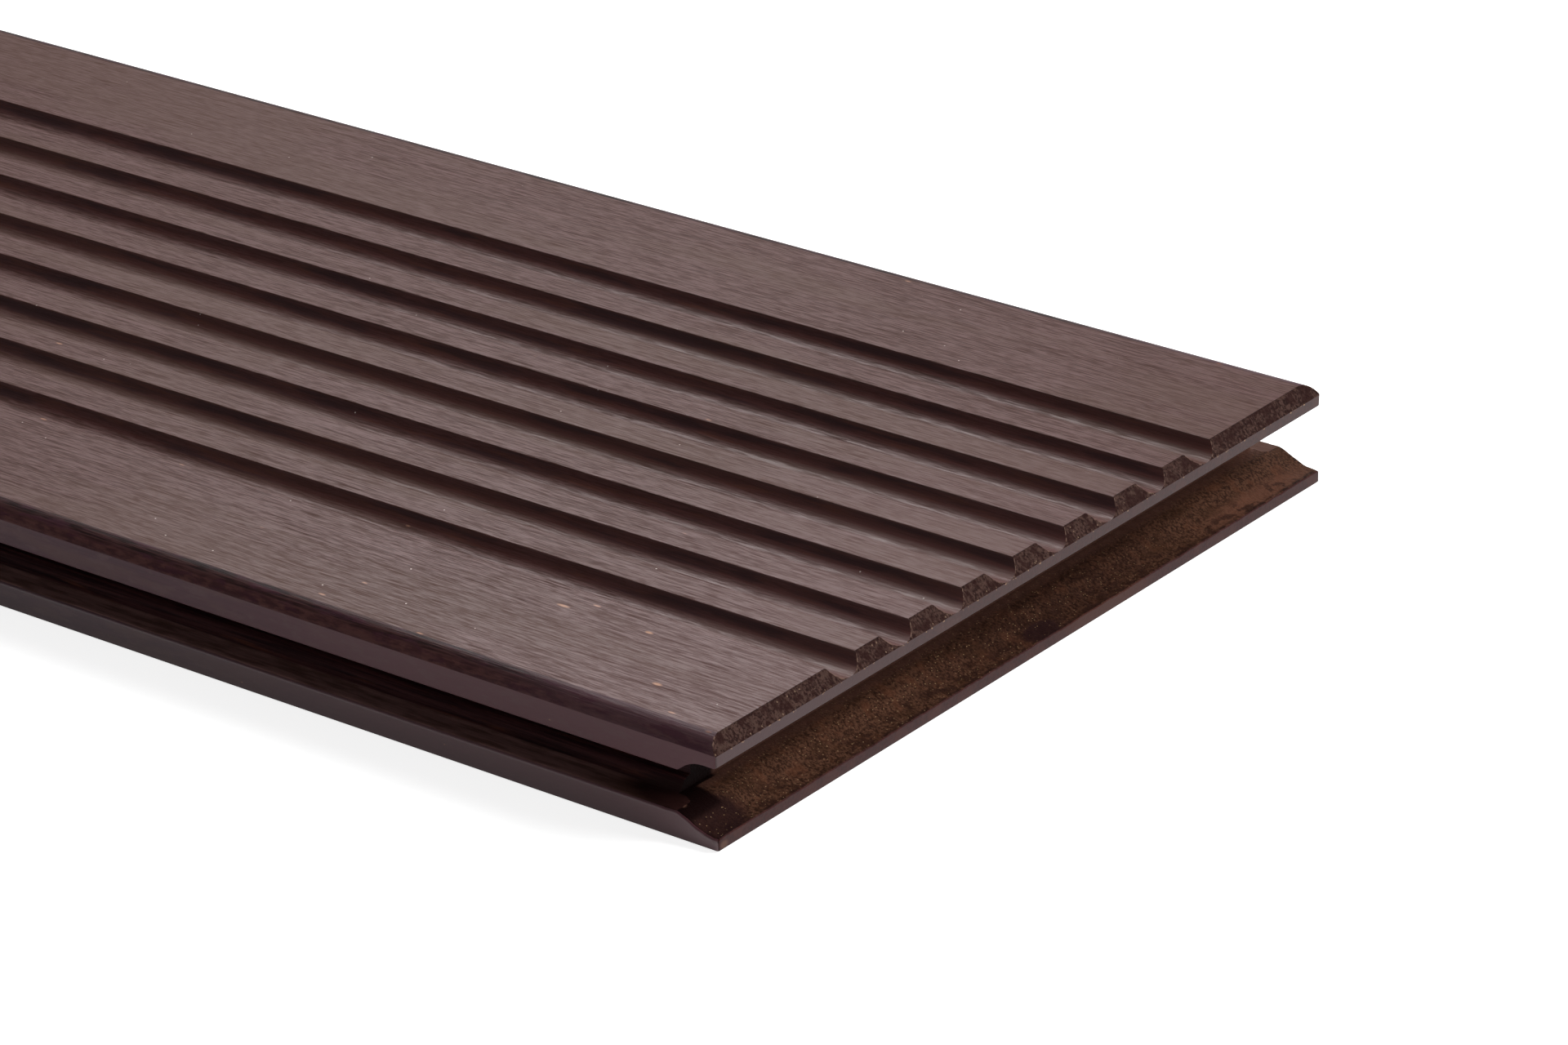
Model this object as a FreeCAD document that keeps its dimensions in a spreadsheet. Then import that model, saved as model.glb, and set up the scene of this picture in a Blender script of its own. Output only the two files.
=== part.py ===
"""Fluted decking board, one piece of dark strand-woven stock, 1850 x 178 x 20 mm.

The board lies flat with its fluted face up. Its origin is at the middle of the underside:
+X runs along the board, +Y across it and +Z up through its thickness.
The section is a flat blank with two eased top arrises. Eight flutes run along its top face.
A clip groove runs along each long edge, and a joint groove and a bevel run across each end.
"""
import FreeCAD, Part
import math
import os
import Sketcher

# The numbers that a sketch gives to an edge's own points, to its two axes and to its origin
START, END, CENTRE = range(1, 4)
ACROSS_AXIS, UP_AXIS = range(-1, -3, -1)
ORIGIN_POINT = (ACROSS_AXIS, START)

SIZES = (
    # name, value in mm or degrees, what it is
    ("board_length", 1850, "sold length of one board"),
    ("board_width", 178, "over the two long edges"),
    ("board_thick", 20, "underside to top face"),
    ("arris_reach", 3.6, "how far the eased top arris runs in from the long edge"),
    ("arris_drop", 2.4, "how far the eased top arris runs down the long edge"),
    ("flute_count", 8, "flutes in the top face"),
    ("flute_pitch", 15, "centre of one flute to centre of the next"),
    ("flute_opening", 8.3, "width of a flute at the top face"),
    ("flute_depth", 2.5, "top face to flute floor"),
    ("flute_draft", 45, "lean of the flute wall from upright, in degrees"),
    ("flute_floor", 0.8, "width of the flat floor of a flute, between its two coves"),
    ("clip_groove_bottom", 5.1, "top of the lower lip along a long edge"),
    ("clip_groove_top", 12.8, "underside of the upper lip along a long edge"),
    ("clip_groove_depth", 8, "long edge to the back of the clip groove"),
    ("clip_ledge", 3.6, "flat part of the lower lip inside the clip groove"),
    ("clip_rise", 2.6, "how far the clip groove floor climbs behind its ledge"),
    ("clip_corner", 1.5, "radius in the upper back corner of the clip groove"),
    ("end_groove_bottom", 2.4, "top of the lower lip across an end"),
    ("end_groove_top", 15.3, "underside of the upper lip across an end"),
    ("end_groove_depth", 12, "end face to the back of the end groove"),
    ("end_floor_run", 11.3, "length of the S-shaped floor of the end groove"),
    ("end_floor_rise", 3, "how far that floor climbs"),
    ("end_roof_flat", 2.7, "flat part of the upper lip inside the end groove"),
    ("end_roof_drop", 3.5, "how far the roof of the end groove comes down behind it"),
    ("end_bevel_reach", 2.1, "how far the end bevel runs in along the top face"),
    ("end_bevel_drop", 2.5, "how far the end bevel runs down the end face"),
)

doc = FreeCAD.newDocument("decking_board")
sheet = doc.addObject("Spreadsheet::Sheet", "sizes")
for row, (name, value, meaning) in enumerate(SIZES, start=1):
    sheet.set(f"A{row}", name)
    sheet.set(f"B{row}", str(value))
    sheet.set(f"C{row}", meaning)
    sheet.setAlias(f"B{row}", name)
doc.recompute()

board = doc.addObject("PartDesign::Body", "board")
board.Label = "board"


def size(name):
    """A driving dimension, read from the sheet."""
    return float(sheet.get(name))


def plane(role):
    """One of the body's own origin planes."""
    return next(part for part in board.Origin.OriginFeatures if part.Role == role)


def new_sketch(name, role):
    """A sketch on one of the body's origin planes: its second axis is up."""
    sketch = board.newObject("Sketcher::SketchObject", name)
    sketch.AttachmentSupport = [(plane(role), "")]
    sketch.MapMode = "FlatFace"
    return sketch


def point(across, up):
    return FreeCAD.Vector(across, up, 0)


def line(sketch, start, end):
    """A straight edge, and its number in the sketch."""
    return sketch.addGeometry(Part.LineSegment(point(*start), point(*end)))


def arc(sketch, centre, radius, from_degrees, to_degrees):
    """An arc drawn anticlockwise, and its number in the sketch."""
    circle = Part.Circle(point(*centre), FreeCAD.Vector(0, 0, 1), radius)
    curve = Part.ArcOfCircle(circle, math.radians(from_degrees), math.radians(to_degrees))
    return sketch.addGeometry(curve)


def rule(sketch, kind, *items):
    """A constraint with no size of its own, such as Horizontal or Tangent."""
    sketch.addConstraint(Sketcher.Constraint(kind, *items))


def measure(sketch, kind, *items, name, value):
    """A sized constraint tied to the sheet. The value is an expression on its names."""
    start = sketch.evalExpression(value)
    start = getattr(start, "Value", start)
    if kind == "Angle":
        start = math.radians(start)
    number = sketch.addConstraint(Sketcher.Constraint(kind, *items, start))
    sketch.renameConstraint(number, name)
    sketch.setExpression(f"Constraints.{name}", value)


def chain(sketch, joints):
    """Joins edge ends, each joint given as edge, end, edge, end."""
    for joint in joints:
        rule(sketch, "Coincident", *joint)


def cut_through(name, sketch):
    """A pocket that runs right through the stock, both ways from its sketch."""
    pocket = board.newObject("PartDesign::Pocket", name)
    pocket.Profile = sketch
    pocket.Type = "ThroughAll"
    pocket.Midplane = True
    return pocket


def mirrored(name, feature, role):
    """The same cut again on the other side of one of the body's planes."""
    mirror = board.newObject("PartDesign::Mirrored", name)
    mirror.Originals = [feature]
    mirror.MirrorPlane = (plane(role), [""])
    board.Tip = mirror
    return mirror


# Blank: a flat bar whose two top arrises are eased by an arc that meets the top face smoothly
half_width = size("board_width") / 2
thick = size("board_thick")
reach = size("arris_reach")
drop = size("arris_drop")
ease = (reach ** 2 + drop ** 2) / (2 * drop)
ease_from = math.degrees(math.asin((ease - drop) / ease))

section = new_sketch("section", "YZ_Plane")
underside = line(section, (-half_width, 0), (half_width, 0))
far_edge = line(section, (half_width, 0), (half_width, thick - drop))
far_arris = arc(section, (half_width - reach, thick - ease), ease, ease_from, 90)
top_face = line(section, (half_width - reach, thick), (reach - half_width, thick))
near_arris = arc(section, (reach - half_width, thick - ease), ease, 90, 180 - ease_from)
near_edge = line(section, (-half_width, thick - drop), (-half_width, 0))
chain(section, (
    (underside, END, far_edge, START),
    (far_edge, END, far_arris, START),
    (near_arris, END, near_edge, START),
    (near_edge, END, underside, START),
))
rule(section, "Tangent", far_arris, END, top_face, START)
rule(section, "Tangent", top_face, END, near_arris, START)
rule(section, "Symmetric", underside, START, underside, END, UP_AXIS)
rule(section, "PointOnObject", underside, START, ACROSS_AXIS)
rule(section, "Horizontal", top_face)
rule(section, "Vertical", far_edge)
rule(section, "Vertical", near_edge)
rule(section, "Equal", far_arris, near_arris)
rule(section, "Equal", far_edge, near_edge)
measure(section, "DistanceX", underside, START, underside, END,
        name="width", value="sizes.board_width")
measure(section, "DistanceY", *ORIGIN_POINT, top_face, START,
        name="thickness", value="sizes.board_thick")
measure(section, "DistanceX", top_face, START, far_edge, END,
        name="reach", value="sizes.arris_reach")
measure(section, "DistanceY", far_edge, END, top_face, START,
        name="drop", value="sizes.arris_drop")

blank = board.newObject("PartDesign::Pad", "blank")
blank.Profile = section
blank.Midplane = True
blank.setExpression("Length", "sizes.board_length")

# Flutes: a sloped wall each side, which turns into the narrow flat floor by a broad cove.
# The cove has the radius that fills what the opening, the floor and the walls leave over.
opening = size("flute_opening")
depth = size("flute_depth")
draft = math.radians(size("flute_draft"))
cove_centre = size("flute_floor") / 2
cove_run = opening / 2 - cove_centre - depth * math.tan(draft)
cove = cove_run * math.cos(draft) / (1 - math.sin(draft))
first_flute = -(size("flute_count") - 1) / 2 * size("flute_pitch")
floor_up = thick - depth
wall_drop = depth - cove * (1 - math.sin(draft))
wall_foot = opening / 2 - wall_drop * math.tan(draft)

flute = new_sketch("flute", "YZ_Plane")
flute_mouth = line(flute, (first_flute - opening / 2, thick), (first_flute + opening / 2, thick))
far_wall = line(flute, (first_flute + wall_foot, thick - wall_drop),
                (first_flute + opening / 2, thick))
near_wall = line(flute, (first_flute - wall_foot, thick - wall_drop),
                 (first_flute - opening / 2, thick))
far_cove = arc(flute, (first_flute + cove_centre, floor_up + cove), cove,
               270, 360 - size("flute_draft"))
near_cove = arc(flute, (first_flute - cove_centre, floor_up + cove), cove,
                180 + size("flute_draft"), 270)
flute_floor = line(flute, (first_flute + cove_centre, floor_up),
                   (first_flute - cove_centre, floor_up))
chain(flute, (
    (flute_mouth, END, far_wall, END),
    (flute_mouth, START, near_wall, END),
))
rule(flute, "Tangent", far_wall, START, far_cove, END)
rule(flute, "Tangent", far_cove, START, flute_floor, START)
rule(flute, "Tangent", flute_floor, END, near_cove, END)
rule(flute, "Tangent", near_cove, START, near_wall, START)
rule(flute, "Horizontal", flute_mouth)
rule(flute, "Horizontal", flute_floor)
rule(flute, "Equal", far_cove, near_cove)
measure(flute, "DistanceY", *ORIGIN_POINT, flute_mouth, START,
        name="top_face", value="sizes.board_thick")
measure(flute, "DistanceX", flute_mouth, START, *ORIGIN_POINT, name="first_flute",
        value="(sizes.flute_count - 1) / 2 * sizes.flute_pitch + sizes.flute_opening / 2")
measure(flute, "DistanceX", flute_mouth, START, flute_mouth, END,
        name="opening", value="sizes.flute_opening")
measure(flute, "DistanceY", flute_floor, START, flute_mouth, START,
        name="depth", value="sizes.flute_depth")
measure(flute, "Angle", far_wall,
        name="far_lean", value="(90 - sizes.flute_draft) * 1 deg")
measure(flute, "Angle", near_wall,
        name="near_lean", value="(90 + sizes.flute_draft) * 1 deg")
measure(flute, "DistanceX", flute_floor, END, flute_floor, START,
        name="floor", value="sizes.flute_floor")

first_flute_cut = cut_through("first_flute", flute)
flutes = board.newObject("PartDesign::LinearPattern", "flutes")
flutes.Originals = [first_flute_cut]
flutes.Direction = (flute, ["H_Axis"])
flutes.setExpression("Length", "(sizes.flute_count - 1) * sizes.flute_pitch")
flutes.setExpression("Occurrences", "sizes.flute_count")
board.Tip = flutes

# Clip groove along a long edge: a level ledge, then an S-curve that climbs to the back wall
edge = -half_width
clip_bottom = size("clip_groove_bottom")
clip_top = size("clip_groove_top")
clip_back = edge + size("clip_groove_depth")
ledge_end = edge + size("clip_ledge")
clip_floor_up = clip_bottom + size("clip_rise")
corner = size("clip_corner")
clip_run = clip_back - ledge_end
clip_curve = (clip_run ** 2 + size("clip_rise") ** 2) / (4 * size("clip_rise"))
clip_turn = math.degrees(math.asin(clip_run / 2 / clip_curve))

clip_groove = new_sketch("clip_groove", "YZ_Plane")
ledge = line(clip_groove, (edge, clip_bottom), (ledge_end, clip_bottom))
lower_curve = arc(clip_groove, (ledge_end, clip_bottom + clip_curve), clip_curve,
                  270, 270 + clip_turn)
upper_curve = arc(clip_groove, (clip_back, clip_floor_up - clip_curve), clip_curve,
                  90, 90 + clip_turn)
back = line(clip_groove, (clip_back, clip_floor_up), (clip_back, clip_top - corner))
back_corner = arc(clip_groove, (clip_back - corner, clip_top - corner), corner, 0, 90)
roof = line(clip_groove, (clip_back - corner, clip_top), (edge, clip_top))
mouth = line(clip_groove, (edge, clip_top), (edge, clip_bottom))
chain(clip_groove, (
    (upper_curve, START, back, START),
    (roof, END, mouth, START),
    (mouth, END, ledge, START),
))
rule(clip_groove, "Tangent", ledge, END, lower_curve, START)
rule(clip_groove, "Tangent", lower_curve, END, upper_curve, END)
rule(clip_groove, "Tangent", back, END, back_corner, START)
rule(clip_groove, "Tangent", back_corner, END, roof, START)
rule(clip_groove, "Horizontal", ledge)
rule(clip_groove, "Horizontal", roof)
rule(clip_groove, "Vertical", back)
rule(clip_groove, "Vertical", mouth)
rule(clip_groove, "Vertical", upper_curve, CENTRE, upper_curve, START)
rule(clip_groove, "Equal", lower_curve, upper_curve)
measure(clip_groove, "DistanceX", ledge, START, *ORIGIN_POINT,
        name="edge", value="sizes.board_width / 2")
measure(clip_groove, "DistanceY", *ORIGIN_POINT, ledge, START,
        name="bottom", value="sizes.clip_groove_bottom")
measure(clip_groove, "DistanceY", *ORIGIN_POINT, roof, END,
        name="top", value="sizes.clip_groove_top")
measure(clip_groove, "DistanceX", ledge, START, ledge, END,
        name="ledge", value="sizes.clip_ledge")
measure(clip_groove, "DistanceX", ledge, START, back, START,
        name="depth", value="sizes.clip_groove_depth")
measure(clip_groove, "DistanceY", ledge, START, back, START,
        name="rise", value="sizes.clip_rise")
measure(clip_groove, "Radius", back_corner,
        name="corner", value="sizes.clip_corner")

near_clip_groove = cut_through("near_clip_groove", clip_groove)
mirrored("far_clip_groove", near_clip_groove, "XZ_Plane")

# End groove: a wide flared mouth whose floor and roof close in on a narrower slot by S-curves
end = size("board_length") / 2
end_bottom = size("end_groove_bottom")
end_top = size("end_groove_top")
end_back = end - size("end_groove_depth")
floor_run = size("end_floor_run")
floor_rise = size("end_floor_rise")
floor_curve = (floor_run ** 2 + floor_rise ** 2) / (4 * floor_rise)
floor_turn = math.degrees(math.asin(floor_run / 2 / floor_curve))
roof_start = end - size("end_roof_flat")
roof_run = roof_start - end_back
roof_drop = size("end_roof_drop")
roof_curve = (roof_run ** 2 + roof_drop ** 2) / (4 * roof_drop)
roof_turn = math.degrees(math.asin(roof_run / 2 / roof_curve))

end_groove = new_sketch("end_groove", "XZ_Plane")
floor_flare = arc(end_groove, (end, end_bottom + floor_curve), floor_curve,
                  270 - floor_turn, 270)
floor_crest = arc(end_groove, (end - floor_run, end_bottom + floor_rise - floor_curve),
                  floor_curve, 90 - floor_turn, 90)
slot_floor = line(end_groove, (end - floor_run, end_bottom + floor_rise),
                  (end_back, end_bottom + floor_rise))
slot_back = line(end_groove, (end_back, end_bottom + floor_rise), (end_back, end_top - roof_drop))
roof_crest = arc(end_groove, (end_back, end_top - roof_drop + roof_curve), roof_curve,
                 270, 270 + roof_turn)
roof_flare = arc(end_groove, (roof_start, end_top - roof_curve), roof_curve, 90, 90 + roof_turn)
lip_roof = line(end_groove, (roof_start, end_top), (end, end_top))
end_mouth = line(end_groove, (end, end_top), (end, end_bottom))
chain(end_groove, (
    (floor_crest, END, slot_floor, START),
    (slot_floor, END, slot_back, START),
    (slot_back, END, roof_crest, START),
    (lip_roof, END, end_mouth, START),
    (end_mouth, END, floor_flare, END),
))
rule(end_groove, "Tangent", floor_flare, START, floor_crest, START)
rule(end_groove, "Tangent", roof_crest, END, roof_flare, END)
rule(end_groove, "Tangent", roof_flare, START, lip_roof, START)
rule(end_groove, "Vertical", floor_flare, CENTRE, floor_flare, END)
rule(end_groove, "Vertical", floor_crest, CENTRE, floor_crest, END)
rule(end_groove, "Vertical", roof_crest, CENTRE, roof_crest, START)
rule(end_groove, "Horizontal", slot_floor)
rule(end_groove, "Horizontal", lip_roof)
rule(end_groove, "Vertical", slot_back)
rule(end_groove, "Vertical", end_mouth)
rule(end_groove, "Equal", floor_flare, floor_crest)
rule(end_groove, "Equal", roof_crest, roof_flare)
measure(end_groove, "DistanceX", *ORIGIN_POINT, floor_flare, END,
        name="end_face", value="sizes.board_length / 2")
measure(end_groove, "DistanceY", *ORIGIN_POINT, floor_flare, END,
        name="bottom", value="sizes.end_groove_bottom")
measure(end_groove, "DistanceY", *ORIGIN_POINT, lip_roof, END,
        name="top", value="sizes.end_groove_top")
measure(end_groove, "DistanceX", slot_back, START, floor_flare, END,
        name="depth", value="sizes.end_groove_depth")
measure(end_groove, "DistanceX", floor_crest, END, floor_flare, END,
        name="floor_run", value="sizes.end_floor_run")
measure(end_groove, "DistanceY", floor_flare, END, floor_crest, END,
        name="floor_rise", value="sizes.end_floor_rise")
measure(end_groove, "DistanceX", lip_roof, START, lip_roof, END,
        name="roof_flat", value="sizes.end_roof_flat")
measure(end_groove, "DistanceY", slot_back, END, lip_roof, END,
        name="roof_drop", value="sizes.end_roof_drop")

front_end_groove = cut_through("front_end_groove", end_groove)
mirrored("back_end_groove", front_end_groove, "YZ_Plane")

# End bevel: a steep slope off the top edge, which meets the end face level with the flute floors
bevel_reach = size("end_bevel_reach")
bevel_drop = size("end_bevel_drop")
bevel_face = new_sketch("end_bevel", "XZ_Plane")
bevel_top = line(bevel_face, (end - bevel_reach, thick), (end, thick))
bevel_front = line(bevel_face, (end, thick), (end, thick - bevel_drop))
bevel_slope = line(bevel_face, (end, thick - bevel_drop), (end - bevel_reach, thick))
chain(bevel_face, (
    (bevel_top, END, bevel_front, START),
    (bevel_front, END, bevel_slope, START),
    (bevel_slope, END, bevel_top, START),
))
rule(bevel_face, "Horizontal", bevel_top)
rule(bevel_face, "Vertical", bevel_front)
measure(bevel_face, "DistanceX", *ORIGIN_POINT, bevel_front, START,
        name="end_face", value="sizes.board_length / 2")
measure(bevel_face, "DistanceY", *ORIGIN_POINT, bevel_front, START,
        name="top_face", value="sizes.board_thick")
measure(bevel_face, "DistanceX", bevel_top, START, bevel_top, END,
        name="reach", value="sizes.end_bevel_reach")
measure(bevel_face, "DistanceY", bevel_front, END, bevel_front, START,
        name="drop", value="sizes.end_bevel_drop")

front_end_bevel = cut_through("front_end_bevel", bevel_face)
mirrored("back_end_bevel", front_end_bevel, "YZ_Plane")

doc.recompute()

for item in doc.Objects:
    if {"Invalid", "Error"} & set(item.State):
        raise RuntimeError(f"{item.Name} failed: {item.State}")

volume = None
for feature in board.Group:
    if not feature.isDerivedFrom("PartDesign::Feature"):
        continue
    new_volume = feature.Shape.Volume
    if volume is not None and new_volume >= volume:
        raise RuntimeError(f"{feature.Name} removed no stock")
    volume = new_volume
    print(f"{feature.Name}: {volume / 1000:.1f} cubic centimetres")

os.makedirs("parts", exist_ok=True)
shape = board.Shape
if shape.isNull() or not shape.isValid() or len(shape.Solids) != 1:
    raise RuntimeError("the board isn't one valid solid")
shape.exportStep(f"parts/{board.Label}.step")
box = shape.BoundBox
print(f"{board.Label}: {box.XLength:.1f} x {box.YLength:.1f} x {box.ZLength:.1f} mm,"
      f" {len(shape.Faces)} faces")
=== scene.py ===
# %% [markdown]
# # A fluted decking board, dressed for its portrait
#
# The board is one piece of dark, strand-woven stock: bamboo strands are pressed with resin into a
# block, and the block is sawn, planed, fluted and grooved. This lesson keeps the size of the solid
# that was packed, works the surface out again as one closed skin with softened edges and cutter
# marks, and paints each kind of cut with its own finish.
#
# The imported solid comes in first. Its box is noted, because the new skin has to stay inside it.

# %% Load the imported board
import math

import bmesh
import bpy
import numpy as np
from mathutils import Matrix, Vector


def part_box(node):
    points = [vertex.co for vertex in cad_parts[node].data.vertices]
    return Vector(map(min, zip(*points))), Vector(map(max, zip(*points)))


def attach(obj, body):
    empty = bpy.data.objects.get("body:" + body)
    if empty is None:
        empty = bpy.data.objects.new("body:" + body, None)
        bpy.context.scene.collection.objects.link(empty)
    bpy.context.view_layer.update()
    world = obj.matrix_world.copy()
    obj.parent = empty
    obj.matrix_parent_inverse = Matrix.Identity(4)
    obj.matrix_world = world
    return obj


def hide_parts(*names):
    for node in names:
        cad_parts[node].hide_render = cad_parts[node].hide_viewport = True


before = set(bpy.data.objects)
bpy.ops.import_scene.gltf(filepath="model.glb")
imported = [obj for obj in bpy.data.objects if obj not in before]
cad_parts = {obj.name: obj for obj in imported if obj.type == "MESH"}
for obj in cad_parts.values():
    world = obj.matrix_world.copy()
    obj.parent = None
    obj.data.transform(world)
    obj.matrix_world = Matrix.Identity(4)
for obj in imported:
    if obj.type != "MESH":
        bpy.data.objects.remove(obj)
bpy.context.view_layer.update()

MM = 0.001
MM_PER_METRE = 1000
low_corner, high_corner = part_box("board")
HALF_LENGTH = high_corner.x / MM
HALF_WIDTH = high_corner.y / MM
THICK = high_corner.z / MM
print(f"board: {2 * HALF_LENGTH:.1f} x {2 * HALF_WIDTH:.1f} x {THICK:.1f} mm")

# %% [markdown]
# ## Columns: places across the width
#
# The skin is a lattice of columns across the width, rows up the height and stations along the
# length, pulled onto the shape of the board. A box and booleans would make the grooves too, but a
# lattice lets every edge have its own soft radius, and it leaves no stray faces behind.
#
# A column is a place across the board together with the height of the top face there: the lands are
# flat, the flutes dip with sloped walls and broad coves, and the long arrises are eased by an arc.
#
# The flute walls are drawn 7 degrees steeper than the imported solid's, as the photograph shows them.
# The two sections stay within a fifth of a millimetre of each other.

# %% Sizes of the flutes and the eased arris, in millimetres
FLUTES = 8
FLUTE_PITCH = 15.0
FLUTE_HALF_OPENING = 4.15
FLUTE_DEPTH = 2.5
FLUTE_DRAFT = 38.0
FLUTE_FLOOR = 0.4
COVE_STEPS = 8
RIB_EDGE = 0.3
RIB_EDGE_STEPS = 3
RIB_GAPS = 6
LAND_PLACES = 26
ARRIS_REACH = 3.6
ARRIS_DROP = 2.4
ARRIS_STEPS = 5
LIP_EDGE = 0.3
LIP_ROUND = 0.7
EDGE_GAPS = np.array([LIP_ROUND, 0.5, LIP_EDGE, 0.2, 0.11, 0.03, 0.0])


# %% One half of a flute
def arc(centre, radius, start, end, steps):
    """Points on a circle: centre plus radius times cosine and sine, from one angle to another."""
    turn = np.radians(np.linspace(start, end, steps + 1))
    return centre[0] + radius * np.cos(turn), centre[1] + radius * np.sin(turn)


def half_flute():
    """Offset from the flute's middle and height: flat floor, cove, sloped wall, rounded rib edge.
    An arc that turns into a slope is tangent to both, and runs its radius times the tangent of half
    the turn past their corner. The cove takes all the run that the floor and the wall leave it."""
    half_turn = math.tan(math.radians(90 - FLUTE_DRAFT) / 2)
    wall_run = FLUTE_DEPTH * math.tan(math.radians(FLUTE_DRAFT))
    cove = (FLUTE_HALF_OPENING - FLUTE_FLOOR / 2 - wall_run) / half_turn
    cove_middle = (FLUTE_FLOOR / 2, THICK - FLUTE_DEPTH + cove)
    foot = arc(cove_middle, cove, -90, -FLUTE_DRAFT, COVE_STEPS)
    flat_start = FLUTE_HALF_OPENING + RIB_EDGE * half_turn
    edge_middle = (flat_start, THICK - RIB_EDGE)
    edge = arc(edge_middle, RIB_EDGE, 180 - FLUTE_DRAFT, 90, RIB_EDGE_STEPS)
    across = np.concatenate([[0.0], foot[0], edge[0]])
    height = np.concatenate([[THICK - FLUTE_DEPTH], foot[1], edge[1]])
    return across, height


across, height = half_flute()
middles = (np.arange(FLUTES) - (FLUTES - 1) / 2) * FLUTE_PITCH
flute_across = (middles[:, None] + np.concatenate([-across[:0:-1], across])).ravel()
flute_height = np.tile(np.concatenate([height[:0:-1], height]), FLUTES)
print(f"half a flute: {len(across)} points, {across[-1]:.2f} mm from middle to flat land")

# %% All the columns
arris_radius = (ARRIS_REACH ** 2 + ARRIS_DROP ** 2) / (2 * ARRIS_DROP)
arris_middle = (HALF_WIDTH - ARRIS_REACH, THICK - arris_radius)


def top_height(places):
    """Height of the top face: the flute profile, then the arris circle beyond the flat land."""
    flat = np.interp(places, flute_across, flute_height, left=THICK, right=THICK)
    beyond = np.clip(np.abs(places) - arris_middle[0], 0, ARRIS_REACH)
    return np.where(beyond > 0, arris_middle[1] + np.sqrt(arris_radius ** 2 - beyond ** 2), flat)


rib_gap = FLUTE_PITCH - 2 * across[-1]
rib_fill = across[-1] + rib_gap * np.arange(1, RIB_GAPS) / RIB_GAPS
rib_places = (middles[:-1, None] + rib_fill).ravel()
land_places = np.linspace(middles[-1] + across[-1], arris_middle[0], LAND_PLACES)[1:]
edge_places = HALF_WIDTH - EDGE_GAPS
arris_turn = math.degrees(math.acos((edge_places[0] - arris_middle[0]) / arris_radius))
arris_places = arc(arris_middle, arris_radius, 90, arris_turn, ARRIS_STEPS)[0]
side_places = np.concatenate([land_places, arris_places[1:-1], edge_places])
columns = np.unique(np.round(np.concatenate(
    [flute_across, rib_places, side_places, -side_places]), 6))
crown = top_height(columns)
print(f"{len(columns)} columns, top from {crown.min():.1f} to {crown.max():.1f} mm")

# %% [markdown]
# ## Stations and rows
#
# Stations are places along the length, close together near both ends and far apart between. Rows
# are heights. At each row the board has a half width, from the groove along its long edge, and a
# half length, from the groove across its end. So two outlines say everything below the bevel.
#
# A level run, such as the ledge in the clip groove, is climbed in steps of a hundred-thousandth of
# a millimetre. Each step ends at a column or a station, so that later the doubles merge cleanly.

# %% Stations along the length
BEVEL_REACH = 2.1
BEVEL_DROP = 2.5
ROOF_FLAT = 2.7
END_DEPTH = 12.0
FLOOR_RUN = 11.3
end_places = np.array([1.6, 2.1, ROOF_FLAT, 3.2, 3.8, 4.5, 5.5, 6.5, 7.5, 8.5, 9.5, 10.5, FLOOR_RUN,
                       11.65, END_DEPTH, 14, 17, 22, 30, 45, 70, 110, 170, 250, 350, 470, 600,
                       740, 880])
half_stations = HALF_LENGTH - np.concatenate([EDGE_GAPS, end_places])
stations = np.unique(np.concatenate([half_stations, -half_stations]))
print(f"{len(stations)} stations")


# %% Rows: the outline of the long edge
HAIR = 1e-5


def s_curve(start, end, steps):
    """Two equal arcs, level at both ends, from one point to another: radius is the sum of the
    squares of run and rise over four times the rise."""
    run, rise = end[0] - start[0], end[1] - start[1]
    radius = (run ** 2 + rise ** 2) / (4 * abs(rise))
    part = np.linspace(0, 1, steps + 1)
    near = radius - np.sqrt(radius ** 2 - (np.minimum(part, 0.5) * run) ** 2)
    far = radius - np.sqrt(radius ** 2 - ((1 - np.maximum(part, 0.5)) * run) ** 2)
    rising = np.where(part <= 0.5, near, abs(rise) - far)
    return start[0] + part * run, start[1] + rising * np.sign(rise)


def level_run(places, height):
    """A level run through the given places, each a hair higher than the last."""
    return places, height + HAIR * np.arange(len(places))


def outline(*pieces):
    """Joins pieces of (reach, height) into one outline whose height always climbs."""
    reach = np.concatenate([np.atleast_1d(piece[0]) for piece in pieces])
    height = np.concatenate([np.atleast_1d(piece[1]) for piece in pieces]).astype(float)
    return reach, np.maximum.accumulate(height + HAIR * 1e-2 * np.arange(len(height)))


LEDGE, CLIP_FLOOR, CLIP_TOP, CLIP_CORNER, CLIP_DEPTH, CLIP_LEDGE = 5.1, 7.7, 12.8, 1.5, 8.0, 3.6
CLIP_WALL_MIDDLE, UPPER_LIP_MIDDLE = 9.5, 15.0
soft = HALF_WIDTH - LIP_EDGE
clip_back = HALF_WIDTH - CLIP_DEPTH
ledge_in = HALF_WIDTH - CLIP_LEDGE
positive = columns[columns > 0]
ledge_steps = positive[positive >= ledge_in - HAIR][::-1]
roof_steps = positive[(positive > clip_back + CLIP_CORNER) & (positive <= soft + HAIR)]
edge_reach, edge_height = outline(
    arc((soft, LIP_EDGE), LIP_EDGE, -90, 0, 3),
    level_run(ledge_steps, LEDGE),
    s_curve((ledge_in, LEDGE), (clip_back, CLIP_FLOOR), 8),
    ([clip_back], [CLIP_WALL_MIDDLE]),
    arc((clip_back + CLIP_CORNER, CLIP_TOP - CLIP_CORNER), CLIP_CORNER, 180, 90, 5),
    level_run(roof_steps, CLIP_TOP),
    arc((soft, CLIP_TOP + LIP_EDGE), LIP_EDGE, -90, 0, 3),
    ([HALF_WIDTH, HALF_WIDTH], [UPPER_LIP_MIDDLE, THICK]),
)
print(f"long edge outline: {len(edge_reach)} points")

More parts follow.
